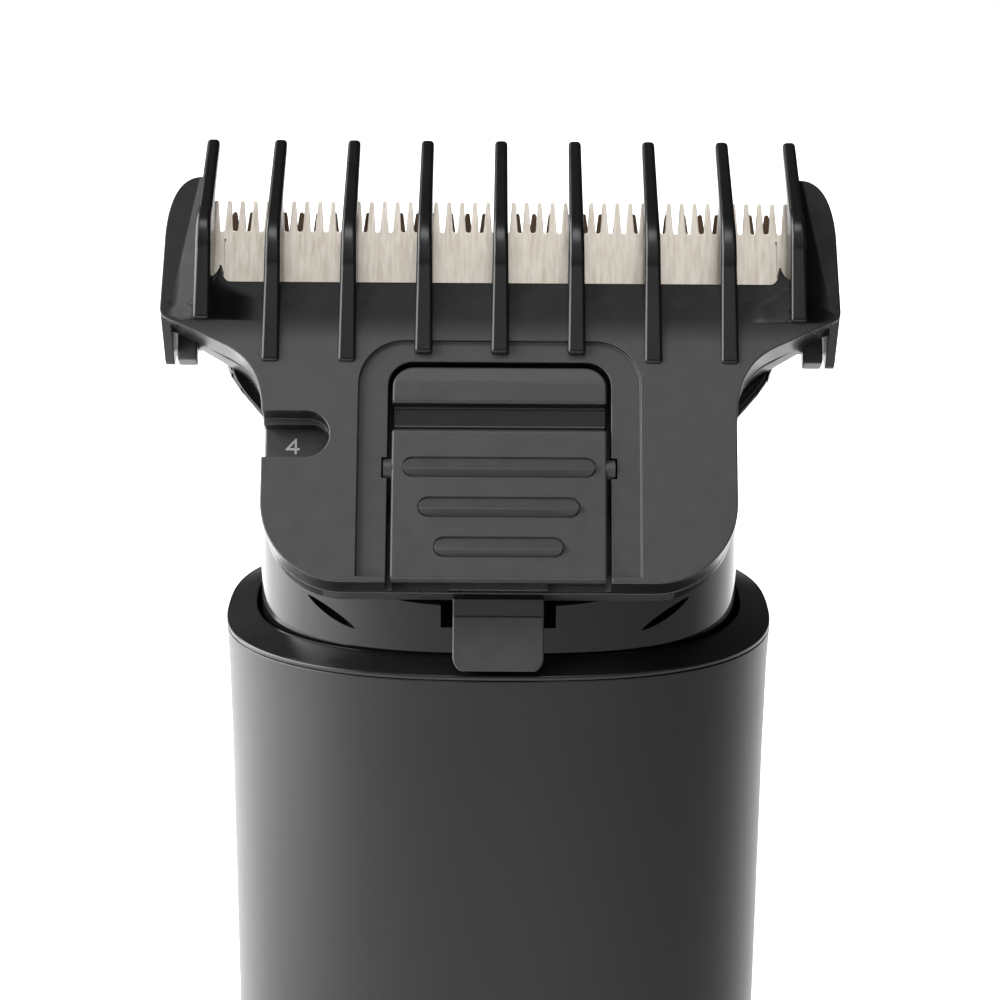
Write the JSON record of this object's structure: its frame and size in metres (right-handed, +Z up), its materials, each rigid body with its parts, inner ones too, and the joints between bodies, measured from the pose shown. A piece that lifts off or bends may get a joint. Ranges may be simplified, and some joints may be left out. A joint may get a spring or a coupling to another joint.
{
  "type": "hair clipper",
  "caption": "Cordless hair clipper with a T-shaped blade and a clip-on comb whose length is set by a slide and a rocker latch.",
  "frame": {"origin": "middle of the flat base that the clipper stands on", "axes": "+Z up along the body to the head, -Y out of the skin side (comb and blade), +X to the right seen from the skin side"},
  "size_m": [0.0496, 0.0386, 0.1699],
  "materials": {
    "shell_plastic": "satin moulded plastic",
    "gloss_plastic": "polished black",
    "comb_plastic": "fine spark-eroded texture",
    "cutter_steel": "ground, champagne tint",
    "plain_steel": "plain",
    "contact_brass": "plain",
    "frame_plastic": "moulded",
    "board_laminate": "solder mask",
    "cell_wrap": "shrink sleeve",
    "seal_rubber": "moulded",
    "indicator_lens": "clear, frosted"
  },
  "bodies": {
    "body": {"body_shell": "shell_plastic", "base_cap": "shell_plastic", "collar_ring": "gloss_plastic", "head_neck": "gloss_plastic", "head_housing": "gloss_plastic", "fixed_blade": "cutter_steel", "blade_screw_left": "plain_steel", "blade_screw_right": "plain_steel", "blade_spring": "plain_steel", "base_screw_left": "plain_steel", "base_screw_right": "plain_steel", "battery_tab_top": "plain_steel", "battery_tab_bottom": "plain_steel", "power_switch": "plain_steel", "charge_socket": "plain_steel", "motor_can": "plain_steel", "motor_contact_left": "contact_brass", "motor_contact_right": "contact_brass", "chassis": "frame_plastic", "motor_holder": "frame_plastic", "blade_spacer": "frame_plastic", "circuit_board": "board_laminate", "battery_cell": "cell_wrap", "neck_gasket": "seal_rubber", "motor_lead_left": "seal_rubber", "motor_lead_right": "seal_rubber", "control_chip": "seal_rubber", "light_guide": "indicator_lens"},
    "button": {"power_button": "gloss_plastic"},
    "cam": {"drive_cam": "plain_steel", "cam_roller": "contact_brass"},
    "cutter": {"moving_blade": "plain_steel", "blade_carriage": "frame_plastic"},
    "carrier": {"comb_carrier": "comb_plastic"},
    "comb": {"comb": "comb_plastic"},
    "lever": {"latch_lever": "comb_plastic"}
  },
  "joints": [
    {"name": "button_press", "type": "slide", "parent": "body", "child": "button", "axis": [0, -1, 0], "range_m": [0, 0.0006], "stiffness_N_per_m": 800},
    {"name": "cam_spin", "type": "hinge", "parent": "body", "child": "cam", "pos_m": [0, 0, 0.14], "axis": [0, 0, 1], "continuous": true},
    {"name": "cutter_stroke", "type": "slide", "parent": "body", "child": "cutter", "axis": [1, 0, 0], "range_m": [-0.001, 0.001]},
    {"name": "comb_release", "type": "slide", "parent": "body", "child": "carrier", "axis": [0, -0.866, 0.5], "range_m": [0, 0.016]},
    {"name": "comb_length", "type": "slide", "parent": "carrier", "child": "comb", "axis": [0, 0.5, 0.866], "range_m": [0, 0.006]},
    {"name": "latch_press", "type": "hinge", "parent": "comb", "child": "lever", "pos_m": [0, -0.01514, 0.1486], "axis": [-1, 0, 0], "range_deg": [0, 6], "stiffness_Nm_per_rad": 0.1}
  ]
}
